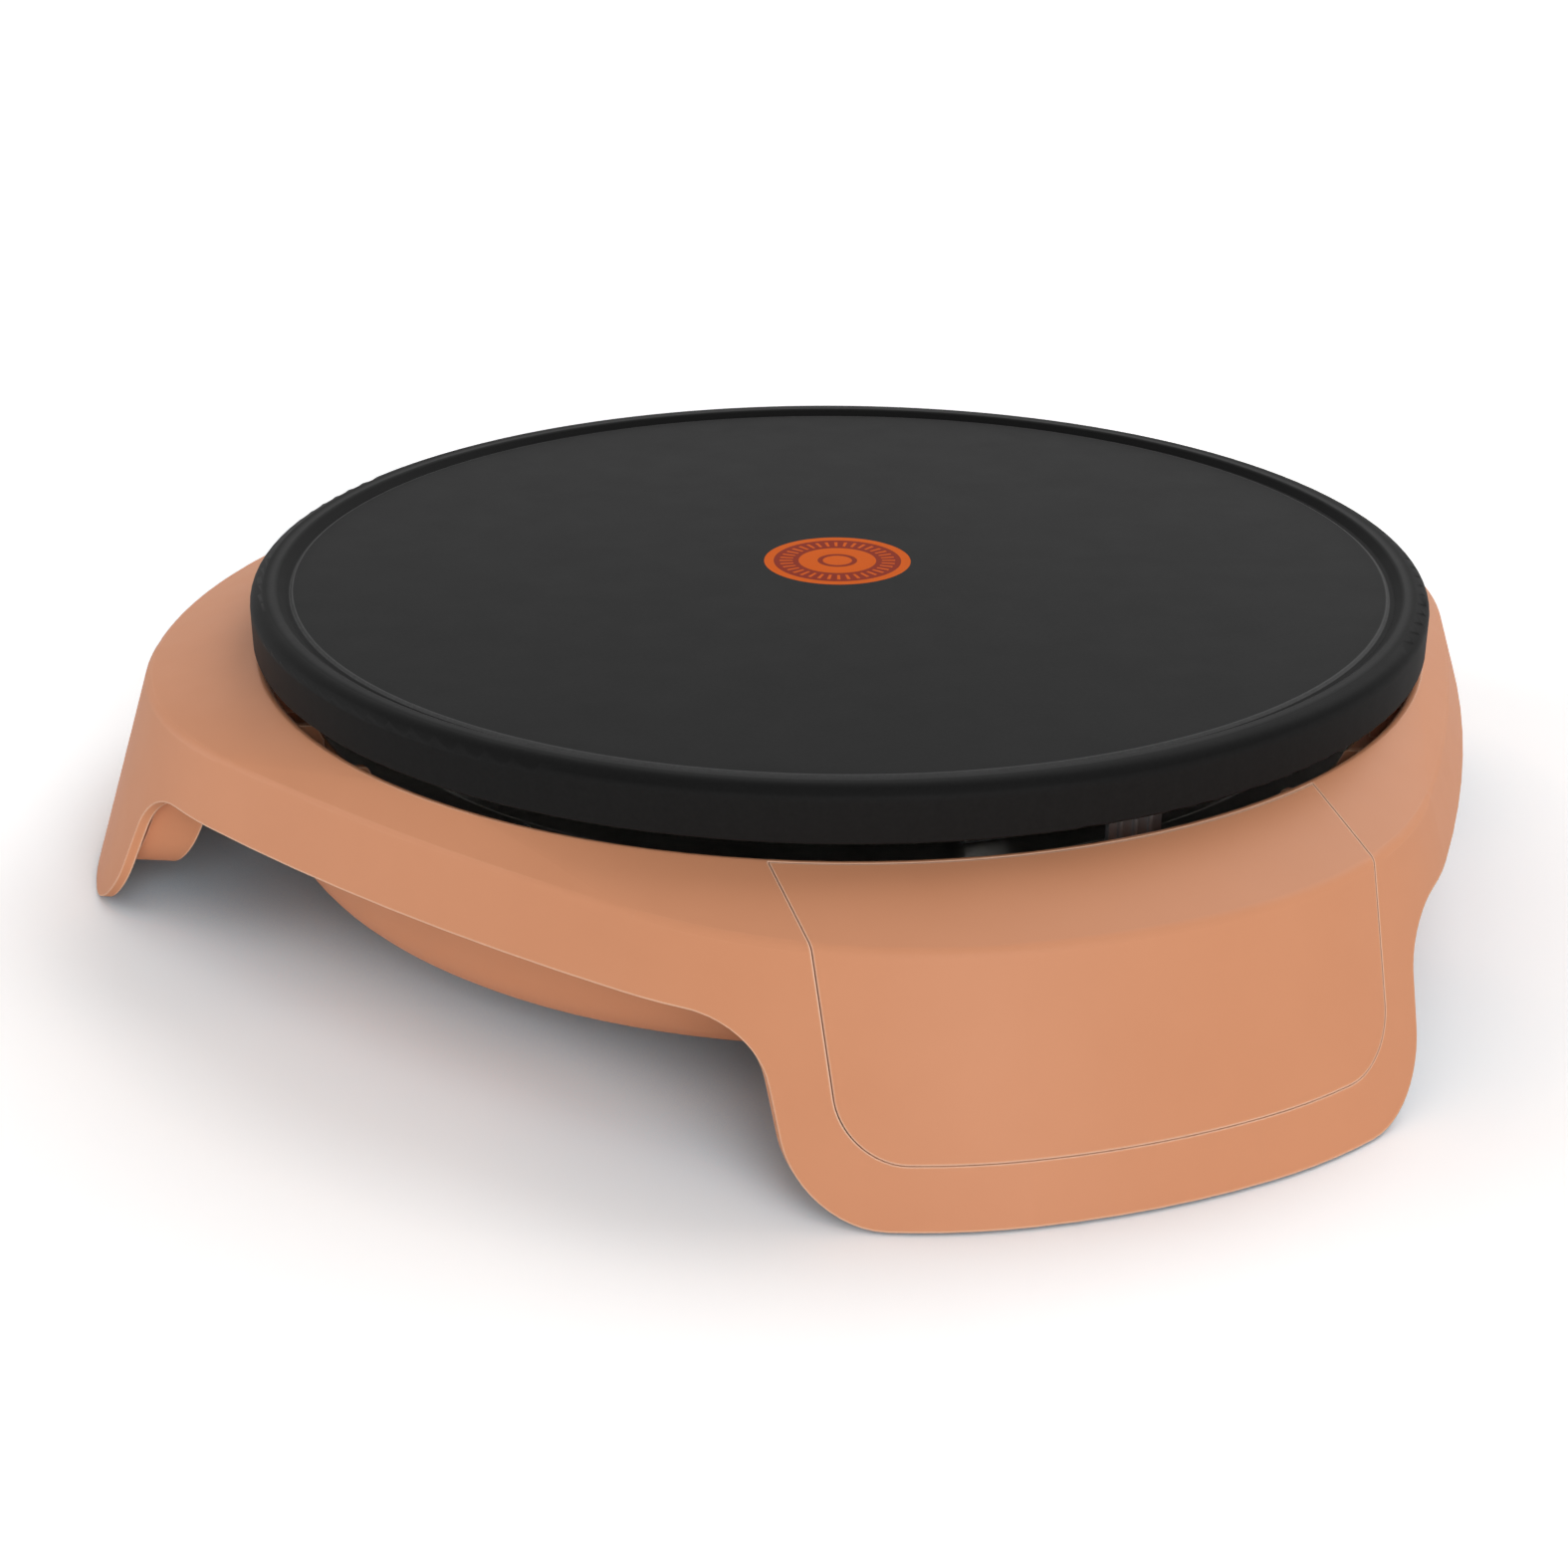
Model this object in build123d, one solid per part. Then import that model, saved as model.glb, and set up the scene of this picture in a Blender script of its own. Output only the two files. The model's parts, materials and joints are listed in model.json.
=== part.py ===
"""Electric crepe maker: a lift-off cast plate on a round three-legged base.

Frame: millimetres, +Z up.  The origin is on the plate's axis at table level, and the front leg with
its fascia points along -Y.  The two back legs stand 120 degrees either side of it.
"""
from build123d import *
from math import acos, asin, atan2, cos, degrees, hypot, radians, sin, sqrt
import os

# ---------------------------------------------------------------- driving dimensions
# Griddle plate
plate_radius = 175.0
cooking_height = 90.0        # table to cooking surface
plate_thickness = 5.0
plate_depth = 13.4           # cooking surface to the foot of the rim
rim_crest = 1.5              # the rim stands this much above the cooking surface
rim_wall = 4.5
rim_crest_width = 3.6
rim_rounding = 3.9
rim_slope = 2.5              # radial run of the slope inside the crest
trough_width = 1.6
trough_depth = 0.6
pad_height = 3.0             # cast pads under the plate, one on each support
lug_drop = 3.5               # locating lugs either side of each pad
lug_thickness = 2.4
lug_clearance = 0.6
cast_edge = 0.8              # small rounds on the casting's edges
cast_fillet = 2.5            # inside corner between disc and rim
rim_foot_run = 1.5           # taper of the rim's inner face
trough_blend = 0.3

# Base shell: plan outline given at shoulder_height, arcs tangent to each other
leg_angles = (-90.0, 24.0, 156.0)
leg_stand = 33.0             # legs' face beyond the plate's edge, at shoulder_height
side_stand = 7.8             # middle of the side beyond the plate's edge, at shoulder_height
side_radius = 730.0          # arc of the side
corner_radius = 126.0        # arc between leg and side
flare = 0.33                 # outward run per unit of drop
ring_tuck = 3.0              # the round opening lies this far inside the plate's edge
plate_air = 4.8              # gap under the plate's rim
shoulder_drop = 7.6          # from the lip to shoulder_height, where the top meets the side
inner_drop = 1.1             # fall of the top's underside, per unit of wall
edge_round = 3.0             # edge between top and side
lip_width = 2.6              # level ring round the opening
lip_round = 2.2
shell_wall = 2.5
skirt_height = 26.0          # from the top at the opening to the skirt's edge between the legs
leg_width_top = 176.0        # where the leg leaves the skirt
leg_width_foot = 168.0
leg_foot_round = 21.0
leg_arch_round = 15.0
shell_lift = 0.8             # the legs' edge stays this far off the table
ledge_drop = 16.8            # from the top at the opening to the ledge that carries the reflector
ledge_thickness = 2.5
ledge_width = 22.0
rib_pitch_deg = 12.0
rib_offset_deg = 2.0
rib_thickness = 2.0
rib_depth = 9.0              # radial, in from the opening's wall
rib_top_gap = 1.6            # below the opening's rim
rib_nose = (2.0, 1.5, 6.0)   # rib's inner top corner: run, fall, depth of its edge
rib_root = 0.5               # into the opening's wall

# Front fascia
panel_width_top = 149.6
panel_width_foot = 146.4
panel_foot_height = 15.8
panel_foot_round = 15.0
panel_seam = 0.25
panel_step = 2.8             # fascia's inner edge beyond the opening
panel_flange = 4.0
panel_flange_thickness = 1.4
panel_lap_gap = 1.0          # flange outward of the opening's wall
fit_gap = 0.15

# Bottom cover, a shallow bowl
floor_air = 3.2              # under the lowest lead
bowl_taper = 10.5            # radial, from flange to floor
bowl_round = 18.0
bowl_wall = 2.5
bowl_flange_rise = 2.2       # flange above the skirt's edge
bowl_flange_width = 5.5
bowl_flange_gap = 1.3        # inside the skirt
ear_radius = 6.5
ear_step = 3.0               # screws beyond the flange's edge
ear_beyond = 2.2             # screws beyond the leg's side
stop_size = (2.0, 4.0)       # ribs that locate the terminal block: thickness, height

# Leg liners and feet
liner_gap = 0.4              # behind the fascia's flange
liner_depth = 12.0
liner_wall = 2.0
liner_inset = 3.0            # in from the leg's edge, each side
liner_foot_height = 13.0
liner_top_drop = 5.0         # below shoulder_height
liner_screw_spread = 84.0
foot_length = 46.0
foot_width = 9.0
foot_round = 4.0
foot_edge = 0.8
foot_spigot_radius = 3.0
foot_spigot_stand = 2.0      # above the liner's floor
foot_outward = 1.0           # the pad lies this far outward of the liner's middle

# Reflector pan
reflector_sheet = 1.0
reflector_depth = 10.5       # below the ledge's top
reflector_slope = 14.0       # radial, from the ledge's inner edge to the floor
reflector_rim_gap = 3.0      # inside the ribs
reflector_bend = 4.0
reflector_rim_bend = 2.0
ledge_gap = 1.5              # pan's wall inside the ledge
wall_slant = 0.8             # share of the sheet that a sloping wall takes up, radially

# Heating element
element_inset = 18.0         # ring of the tube inside the reflector's floor edge
element_tube = 7.0
element_gap = 0.3            # under the plate
element_half_gap_deg = 12.0
element_bend = 12.0
element_end_drop = 11.0      # cold ends below the reflector's floor
element_hole_gap = 2.5
pin_diameter = 3.2
pin_length = 11.0
bush_length = 4.0
bush_diameter = 6.0

# Element brackets
bracket_angles = (0.0, 180.0, 270.0)
bracket_width = 12.0
bracket_sheet = 1.5
bracket_foot = 14.0
saddle_clearance = 0.15
sheet_bend = 1.8             # outside of a bend in steel sheet
sheet_bend_inside = 0.3

# Plate supports
support_thirds = (-90.0, 30.0, 150.0)
support_offset_deg = 8.0     # turned clear of the ribs
support_width = 16.0
support_sheet = 1.5
support_reach = 10.0
support_wall_gap = 9.5       # inside the opening's wall
support_foot_inset = 1.0     # foot's edge outward of the ledge's
bead_radius = 1.0
bead_spacing = 4.55
bead_margin = 4.0

# Sensor
sensor_radius = 11.0
sensor_cap_thickness = 3.5
sensor_gap = 0.3             # under the plate at rest
sensor_travel = 2.0
sensor_edge = 1.0
guide_bore = 8.0
guide_wall = 1.2
guide_base_radius = 24.0
guide_rivet_offset = 20.5
guide_height = 20.0
stem_clearance = 0.06
stem_wall = 1.4
stem_length = 16.0
spring_radius = 4.9
spring_wire = 0.8
spring_turns = 7
spring_gap = 0.3
rod_radius = 1.5
rod_hole_radius = 2.2
rod_air = 0.5                # above the switch, with the sensor pressed right down

# Thermostat switch, thermal fuse and wiring
switch_size = (30.0, 17.0, 12.0)
switch_round = 2.0
switch_well = 1.5
switch_blade = (4.8, 0.8, 7.0)
switch_blade_spread = 20.0
hanger_wing = 10.0           # hanger beyond each end of the switch
hanger_inset = 2.5           # hanger narrower than the switch, each side
fuse_radius = 2.2
fuse_length = 13.0
fuse_wire_radius = 0.8
fuse_wire_length = 6.0       # each end
sleeve_wall = 0.7
sleeve_overhang = 1.0        # beyond each end of the fuse
fuse_step = (46.0, 71.0)     # fuse from the block: to the right, and forward
clip_width = 6.0
clip_end = 4.0               # tab beyond its rivet
block_size = (32.0, 18.0, 14.0)
block_round = 1.5
block_step = 21.0            # from the cord clamp to the block
block_pitch = 10.2
block_well_radius = 2.4
block_screw_drop = 1.5       # screws below the block's top
block_way = 4.4
block_lead_height = 4.5
block_entry = 6.0            # leads' ends inward of the block's middle
earth_step = (34.0, 47.0)    # earth tag from the block: to the left, and forward
tag_sheet = 1.0
tag_ring_radius = 4.5
tag_tongue = (4.0, 14.0)
pin_sleeve_wall = 1.2
pin_sleeve_ends = (1.5, 0.5)     # bare pin below and above the sleeve
blade_sleeve_wall = 1.1
blade_sleeve_reach = (1.0, 5.0)  # sleeve below and above the blade's end
lead_diameter = 2.6
lead_bend = 4.0
lead_straight = 28.0         # out of the block before the first turn
lead_rise_run = 14.0         # where a lead climbs to a pin
blade_lead_start = 1.0       # below a blade's end
blade_lead_drop = 6.2
live_step = (14.0, 32.0, 9.0)    # live lead's way round to the fuse, from the fuse and the block's level
live_turn = (32.0, 14.0, 3.0)
live_end = 28.0
live_straight = 24.0
fuse_lead_turn = 26.0
earth_straight = 21.0
earth_turn = (24.0, 11.0)
earth_end = 13.0

# Cord inlet
inlet_rise = 14.5            # above the cover's floor
inlet_bore = 7.2
inlet_outer = 12.0
inlet_flange = 17.0
inlet_flange_thickness = 3.0
inlet_collar = 1.5           # flat pad around the flange
inlet_stand = 3.2            # pad's face, out from the wall at the axis
inlet_reach = 6.0            # inside the cover's wall
inlet_edge = 1.0
clamp_inset = 15.0           # from the edge of the cover's floor
clamp_round = 2.0
clamp_size = (32.0, 9.0, 5.0)
clamp_screw_spread = 22.0

# Screws
screw_shank = 3.0
screw_head = 6.0
screw_head_height = 2.2
screw_length = 9.0
liner_screw_length = 5.5
rivet_radius = 1.5
rivet_head = 5.0
rivet_head_height = 1.1
rivet_edge = 0.5
boss_radius = 4.0
boss_spare = 1.0             # pilot hole beyond the screw's end
pilot_gap = 0.05
drive_width = 1.0
drive_depth = 1.1

# ---------------------------------------------------------------- worked-out levels and radii
plate_under = cooking_height - plate_thickness
plate_foot = cooking_height - plate_depth
support_top = plate_under - pad_height
ring_height = plate_foot - plate_air
shoulder_height = ring_height - shoulder_drop
skirt_edge = ring_height - skirt_height
ledge_height = ring_height - ledge_drop
ledge_top = ledge_height + ledge_thickness
liner_top_height = shoulder_height - liner_top_drop
reflector_floor_height = ledge_top - reflector_depth
reflector_top = reflector_floor_height + reflector_sheet
element_end_height = reflector_floor_height - element_end_drop
switch_top = reflector_floor_height - support_sheet - sensor_gap
blade_foot = switch_top - switch_size[2] - switch_blade[2]
blade_lead_level = blade_foot - blade_lead_start - blade_lead_drop
bowl_floor = blade_lead_level - lead_diameter / 2 - floor_air
bowl_height = bowl_floor - bowl_wall
bowl_flange_height = skirt_edge + bowl_flange_rise
bowl_flange_top = bowl_flange_height + bowl_wall
inlet_height = bowl_floor + inlet_rise
lead_level = bowl_floor + block_lead_height

leg_radius = plate_radius + leg_stand
side_reach = plate_radius + side_stand
ring_radius = plate_radius - ring_tuck
panel_inner_radius = ring_radius + panel_step
ledge_radius = ring_radius - ledge_width
reflector_rim_radius = ring_radius - rib_depth - reflector_rim_gap
reflector_floor_radius = ledge_radius - reflector_slope
element_radius = reflector_floor_radius - element_inset
support_outer_radius = ring_radius - support_wall_gap
slant = sqrt(1 + flare**2)   # horizontal thickness of a flared wall, per unit of wall
skirt_inside = side_reach + (shoulder_height - bowl_flange_top) * flare - shell_wall * slant
bowl_flange_radius = skirt_inside - bowl_flange_gap
bowl_top_radius = bowl_flange_radius - bowl_flange_width
bowl_base_radius = bowl_top_radius - bowl_taper
bowl_screw_radius = bowl_flange_radius + ear_step
bowl_screw_offset = degrees(asin((leg_width_top / 2 + ear_beyond) / bowl_screw_radius))
liner_start = shell_wall + fit_gap + panel_flange_thickness + liner_gap
clamp_y = bowl_base_radius - clamp_inset
clamp_screw_xs = (-clamp_screw_spread / 2, clamp_screw_spread / 2)
block_y = clamp_y - block_step
fuse_place = (fuse_step[0], block_y - fuse_step[1])
earth_place = (-earth_step[0], block_y - earth_step[1])
far = 2 * leg_radius
os.makedirs("parts", exist_ok=True)


# ---------------------------------------------------------------- helpers
def save(name, shape, colour):
    """Write one sub-part, with its colour, to its own file."""
    shape.label = name
    shape.color = Color(*colour)
    export_step(shape, f"parts/{name}.step")


def group(shapes):
    """Separate solids kept together as one node."""
    return Compound(children=[solid for shape in shapes for solid in shape.solids()])


def section(points):
    """Closed outline in the XZ plane from (x, z, corner radius) points."""
    corners = [(x, z) for x, z, _ in points]
    wire = FilletPolyline(*corners, radius=[r for _, _, r in points], close=True)
    return Plane.XZ * make_face(wire)


def turned(points):
    """Solid of revolution about the plate's axis from (radius, height, corner radius) points."""
    return revolve(section(points), Axis.Z)


def on_leg(shape, angle):
    """Turn a shape drawn for a leg that points along +X to the leg's own angle."""
    return Rot(0, 0, angle) * shape


def disc(radius, low, high, x=0.0, y=0.0):
    """Upright cylinder between two heights."""
    return Pos(x, y, low) * extrude(Circle(radius), high - low)


def polar(radius, angle):
    return radius * cos(radians(angle)), radius * sin(radians(angle))


def screw(x, y, seat, length, up=1):
    """Slotted pan-head screw; its head's seat is at the height given, its shank runs the other way."""
    head = disc(screw_head / 2, 0, screw_head_height)
    head = fillet(head.edges().sort_by(Axis.Z)[-1], screw_head_height * 0.4)
    slot = Pos(0, 0, screw_head_height) * Box(screw_head * 1.1, drive_width, 2 * drive_depth)
    body = head - slot + disc(screw_shank / 2, -length, 0)
    return Pos(x, y, seat) * (body if up > 0 else Rot(180, 0, 0) * body)


def screw_hole(x, y, low, high):
    return disc(screw_shank / 2 + pilot_gap, low, high, x, y)


# ---------------------------------------------------------------- base shell's form
def side_joints(half):
    """Joints and centres of a side's arcs, for a leg along +X and the side's middle at the angle half."""
    side_offset = side_radius - side_reach
    inner_leg = leg_radius - corner_radius
    inner_side = side_radius - corner_radius
    swing = acos((inner_side**2 - inner_leg**2 - side_offset**2) / (2 * inner_leg * side_offset))
    leg_end = half - swing
    corner = (inner_leg * cos(leg_end), inner_leg * sin(leg_end))
    side = (-side_offset * cos(half), -side_offset * sin(half))
    side_start = atan2(corner[1] - side[1], corner[0] - side[0])
    return leg_end, side_start, corner, side


def plan_arcs():
    """Centre, radius, first and last direction and turn of each arc of the base's plan, joined tangent."""
    for k, leg in enumerate(leg_angles):
        turn = radians(leg)
        half = radians((leg_angles[(k + 1) % 3] - leg) % 360) / 2
        last_half = radians((leg - leg_angles[k - 1]) % 360) / 2
        last_end, last_start, last_corner, _ = side_joints(last_half)
        leg_end, side_start, corner, side = side_joints(half)
        yield (last_corner[0], -last_corner[1]), corner_radius, -last_start, -last_end, turn
        yield (0, 0), leg_radius, -last_end, leg_end, turn
        yield corner, corner_radius, leg_end, side_start, turn
        yield side, side_radius, side_start, 2 * half - side_start, turn


def plan_arc(centre, radius, first, last, turn):
    """One arc, drawn for a leg along +X and then turned to the leg's own angle."""
    def at(angle):
        x = centre[0] + radius * cos(angle)
        y = centre[1] + radius * sin(angle)
        return x * cos(turn) - y * sin(turn), x * sin(turn) + y * cos(turn)

    return ThreePointArc(at(first), at((first + last) / 2), at(last))


def flared_plan(height, inset):
    """Outline of the base at a height, moved inward by inset."""
    grow = (shoulder_height - height) * flare - inset * slant
    edges = [plan_arc(centre, radius + grow, *span) for centre, radius, *span in plan_arcs()]
    return Pos(0, 0, height) * make_face(Wire(edges))


def lip_plan(height):
    """Ring outside the opening, in arcs between the same directions as the outline's."""
    edges = [plan_arc((0, 0), ring_radius + lip_width, *span) for _, _, *span in plan_arcs()]
    return Pos(0, 0, height) * make_face(Wire(edges))


def flared_block(inset):
    """Block with the base's flared sides, moved inward by inset, up to shoulder_height."""
    return loft([flared_plan(0, inset), flared_plan(shoulder_height, inset)], ruled=True)


def form(inset):
    """The base's outer form, moved inward everywhere by inset, as one solid."""
    drop = inset * inner_drop
    shoulder = shoulder_height - drop
    plans = [flared_plan(0, inset), flared_plan(shoulder, inset), lip_plan(ring_height - drop)]
    body = loft(plans, ruled=True)
    rim = [e for e in body.edges() if abs(e.center().Z - shoulder) < 0.1]
    return fillet(rim, max(edge_round - inset, edge_round * 0.2))


def leg_profile(inset, foot, top):
    """Front view of a leg: straight sides, rounded foot corners."""
    half_foot = leg_width_foot / 2 - inset
    half_top = leg_width_top / 2 - inset
    rounding = leg_foot_round - inset
    return section([
        (-half_foot, foot, rounding), (half_foot, foot, rounding), (half_top, top, 0), (-half_top, top, 0),
    ])


def leg_prism(inset, foot, top):
    """The leg's front view carried outward from the axis, for a leg along +X."""
    face = leg_profile(inset, foot, top)
    return Rot(0, 0, 90) * extrude(face, far, dir=(0, -1, 0))


def legs_and_skirt():
    """All that lies above the skirt's edge or within a leg, with the arches rounded."""
    half_foot = leg_width_foot / 2
    half_top = leg_width_top / 2
    wide = half_top + 2 * leg_arch_round
    crown = ring_height + edge_round
    points = [
        (-half_foot, shell_lift, leg_foot_round), (half_foot, shell_lift, leg_foot_round),
        (half_top, skirt_edge, leg_arch_round), (wide, skirt_edge, 0),
        (wide, crown, 0), (-wide, crown, 0),
        (-wide, skirt_edge, 0), (-half_top, skirt_edge, leg_arch_round),
    ]
    prism = Rot(0, 0, 90) * extrude(section(points), far, dir=(0, -1, 0))
    keep = disc(far, skirt_edge, crown)
    for angle in leg_angles:
        keep += on_leg(prism, angle)
    return keep


def window(grow):
    """Space of the fascia, for a leg along +X: parallel sides over the top, rounded foot."""
    half_top = panel_width_top / 2 + grow
    half_foot = panel_width_foot / 2 + grow
    crown = ring_height + edge_round
    foot = panel_foot_height - grow
    rounding = panel_foot_round + grow
    points = [
        (-half_foot, foot, rounding), (half_foot, foot, rounding),
        (half_top, shoulder_height, 0), (half_top, crown, 0),
        (-half_top, crown, 0), (-half_top, shoulder_height, 0),
    ]
    prism = Rot(0, 0, 90) * extrude(section(points), far, dir=(0, -1, 0))
    return prism - disc(panel_inner_radius - min(grow, 0), -1, crown + 1)


outer_form = form(0)
inner_form = form(shell_wall)
skin = outer_form - inner_form
front = leg_angles[0]


# ---------------------------------------------------------------- griddle plate
def griddle_plate():
    """Cast plate with a raised rim, a shallow trough inside it, and a skirt that turns down."""
    under = plate_under
    crest = cooking_height + rim_crest
    crest_outer = plate_radius - rim_rounding
    crest_inner = crest_outer - rim_crest_width
    trough_outer = crest_inner - rim_slope
    trough_inner = trough_outer - trough_width
    trough_floor = cooking_height - trough_depth
    skirt_inner = plate_radius - rim_wall
    plate = turned([
        (0, under, 0), (skirt_inner - rim_foot_run, under, cast_fillet), (skirt_inner, plate_foot, cast_edge),
        (plate_radius, plate_foot, cast_edge), (plate_radius, crest, rim_rounding),
        (crest_inner, crest, 1.5 * cast_edge), (trough_outer, trough_floor, cast_edge),
        (trough_inner, trough_floor, trough_blend),
        (trough_inner - trough_depth, cooking_height, trough_blend),
        (0, cooking_height, 0),
    ])
    radial = support_outer_radius - support_reach / 2
    lug_offset = support_width / 2 + lug_clearance + lug_thickness / 2
    pad_width = support_width + 2 * (lug_clearance + lug_thickness)
    pad = Pos(radial, 0, support_top + pad_height / 2) * Box(support_reach, pad_width, pad_height)
    lug = Box(support_reach, lug_thickness, lug_drop + pad_height)
    for side in (-1, 1):
        pad += Pos(radial, side * lug_offset, plate_under - (lug_drop + pad_height) / 2) * lug
    for angle in support_thirds:
        plate += on_leg(pad, angle + support_offset_deg)
    return plate


# ---------------------------------------------------------------- base shell
def screw_boss(radius, low, high, x, y):
    """Boss with a pilot hole that is open at its lower end."""
    deep = min(high, low + screw_length + boss_spare)
    return disc(radius, low, high, x, y) - screw_hole(x, y, low, deep)


def cover_screw_places():
    for leg in leg_angles:
        for side in (-1, 1):
            yield polar(bowl_screw_radius, leg + side * bowl_screw_offset)


def liner_screw_places(angle):
    """Two screws beside each other, for one leg; each lies in the middle of the liner's depth."""
    reach = leg_radius + (shoulder_height - liner_top_height) * flare - liner_start - liner_depth / 2
    half = liner_screw_spread / 2
    along = sqrt(reach**2 - half**2)
    for side in (-1, 1):
        yield polar(hypot(along, half), angle + degrees(atan2(side * half, along)))


def reflector_screw_places():
    radius = (ledge_radius + reflector_rim_radius) / 2
    for angle in support_thirds:
        yield polar(radius, angle + support_offset_deg + 60)


def support_screw_places():
    radius = (ledge_radius + reflector_rim_radius) / 2
    for angle in support_thirds:
        yield polar(radius, angle + support_offset_deg)


def opening_wall():
    """Inner wall and ledge of the round opening, up into the thickness of the top."""
    wall_outer = ring_radius + shell_wall
    return turned([
        (ledge_radius, ledge_height, 0), (wall_outer, ledge_height, 0),
        (wall_outer, ring_height - shell_wall / 2, 0), (ring_radius, ring_height - shell_wall / 2, 0),
        (ring_radius, ledge_top, 1.0), (ledge_radius, ledge_top, 0),
    ])


def rib_angles():
    return [front + rib_offset_deg + k * rib_pitch_deg for k in range(round(360 / rib_pitch_deg))]


def opening_rib():
    """One web between ledge and wall, its top sloping down inward, for +X."""
    inner = ring_radius - rib_depth
    top = ring_height - rib_top_gap - lip_round
    run, fall, edge = rib_nose
    root = ring_radius + rib_root
    web = section([
        (inner, ledge_top, 0), (root, ledge_top, 0), (root, top, 0), (inner + run, top - fall, fall),
        (inner, top - edge, 0),
    ])
    return Pos(0, rib_thickness / 2, 0) * extrude(web, rib_thickness, dir=(0, -1, 0))


def base_shell():
    shell = skin & legs_and_skirt()
    shell -= disc(ring_radius, 0, far)
    shell += opening_wall()
    level = [e for e in shell.edges().filter_by(GeomType.CIRCLE) if abs(e.center().Z - ring_height) < 0.1]
    shell = fillet([e for e in level if abs(e.radius - ring_radius) < 0.1], lip_round)
    shell -= on_leg(window(0), front)
    for x, y in cover_screw_places():
        post = screw_boss(boss_radius, bowl_flange_top, ring_height, x, y)
        shell += post & outer_form - disc(ring_radius + shell_wall, 0, far)
    for leg in leg_angles[1:]:
        for x, y in liner_screw_places(leg):
            shell += screw_boss(boss_radius, liner_top_height, ring_height, x, y) & outer_form
    for x, y in [*reflector_screw_places(), *support_screw_places()]:
        below = ledge_top - screw_length
        shell += disc(boss_radius, below, ledge_height, x, y)
        shell -= screw_hole(x, y, below, ledge_top)
    ribs = [Rot(0, 0, angle) * opening_rib() for angle in rib_angles()]
    return shell.fuse(*ribs)


# ---------------------------------------------------------------- front fascia
def front_panel():
    """Fascia over the top and face of the front leg, with a flange that laps behind the shell."""
    behind = shell_wall + fit_gap
    backed = shell_wall + panel_flange_thickness
    frame = window(panel_flange) - window(-panel_flange)
    laps = (form(behind) - form(backed)) & on_leg(frame, front)
    laps -= disc(ring_radius + shell_wall + panel_lap_gap, 0, far)
    border = window(-panel_seam) - window(-panel_flange)
    joint = (inner_form - form(backed)) & on_leg(border, front)
    face = skin & on_leg(window(-panel_seam), front)
    panel = face + joint + laps
    for x, y in liner_screw_places(front):
        panel += screw_boss(boss_radius, liner_top_height, ring_height, x, y) & outer_form
    return panel


# ---------------------------------------------------------------- bottom cover
def bottom_cover():
    """Shallow bowl under the base, with screw ears, posts and the cord inlet's hole."""
    top = bowl_flange_top
    side_in = bowl_wall * cos(atan2(bowl_taper, bowl_flange_height - bowl_height))
    bowl = turned([
        (0, bowl_height, 0), (bowl_base_radius, bowl_height, bowl_round),
        (bowl_top_radius, bowl_flange_height, 1.0), (bowl_flange_radius, bowl_flange_height, 0),
        (bowl_flange_radius, top, 0), (bowl_top_radius - side_in, top, 0),
        (bowl_base_radius - side_in, bowl_floor, bowl_round - bowl_wall), (0, bowl_floor, 0),
    ])
    for x, y in cover_screw_places():
        bowl += disc(ear_radius, bowl_flange_height, top, x, y)
        bowl -= screw_hole(x, y, bowl_height, far)
    for x in clamp_screw_xs:
        bowl += screw_boss_up(x, clamp_y, bowl_floor, inlet_height)
    wall = cover_wall_at(inlet_height)
    bowl += inlet_axis(inlet_flange / 2 + inlet_collar, wall - bowl_wall / 2, wall + inlet_stand)
    bowl -= inlet_axis(inlet_outer / 2 + fit_gap, clamp_y + boss_radius, far)
    stop_thickness, stop_height = stop_size
    stop = Box(stop_thickness, block_size[1], stop_height)
    stop_x = (block_size[0] + stop_thickness) / 2 + fit_gap
    for side in (-1, 1):
        bowl += Pos(side * stop_x, block_y, bowl_floor + stop_height / 2) * stop
    return bowl


def screw_boss_up(x, y, low, high):
    """Boss on the cover's floor with a pilot hole open at the top."""
    return disc(boss_radius, low, high, x, y) - screw_hole(x, y, max(low, high - screw_length), high)


def inlet_axis(radius, near, end):
    """Level cylinder along the cord inlet, from y near to y end."""
    return Pos(0, near, inlet_height) * Rot(-90, 0, 0) * extrude(Circle(radius), end - near)


def cover_wall_at(height):
    """Outer radius of the bottom cover's side at a height."""
    rise = (height - bowl_height) / (bowl_flange_height - bowl_height)
    return bowl_base_radius + rise * (bowl_top_radius - bowl_base_radius)


def cord_inlet():
    """Bush through the cover's back wall: flange outside, groove at the wall, bore for the cord."""
    wall = cover_wall_at(inlet_height)
    start = wall - bowl_wall - inlet_reach
    flange_at = wall + inlet_stand
    bush = inlet_axis(inlet_outer / 2, start, flange_at)
    flange = inlet_axis(inlet_flange / 2, flange_at, flange_at + inlet_flange_thickness)
    flange = fillet(flange.edges().sort_by(Axis.Y)[-1], inlet_edge)
    return bush + flange - inlet_axis(inlet_bore / 2, start - 1, far)


def cord_clamp():
    """Bar over the cord's way in, with a half-round groove beneath."""
    long, wide, tall = clamp_size
    bar = Pos(0, clamp_y, inlet_height + tall / 2) * Box(long, wide, tall)
    bar = fillet(bar.edges().filter_by(Axis.Z), clamp_round)
    bar -= inlet_axis(inlet_bore / 2, clamp_y - wide, clamp_y + wide)
    for x in clamp_screw_xs:
        bar -= screw_hole(x, clamp_y, inlet_height, far)
    return bar


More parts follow.
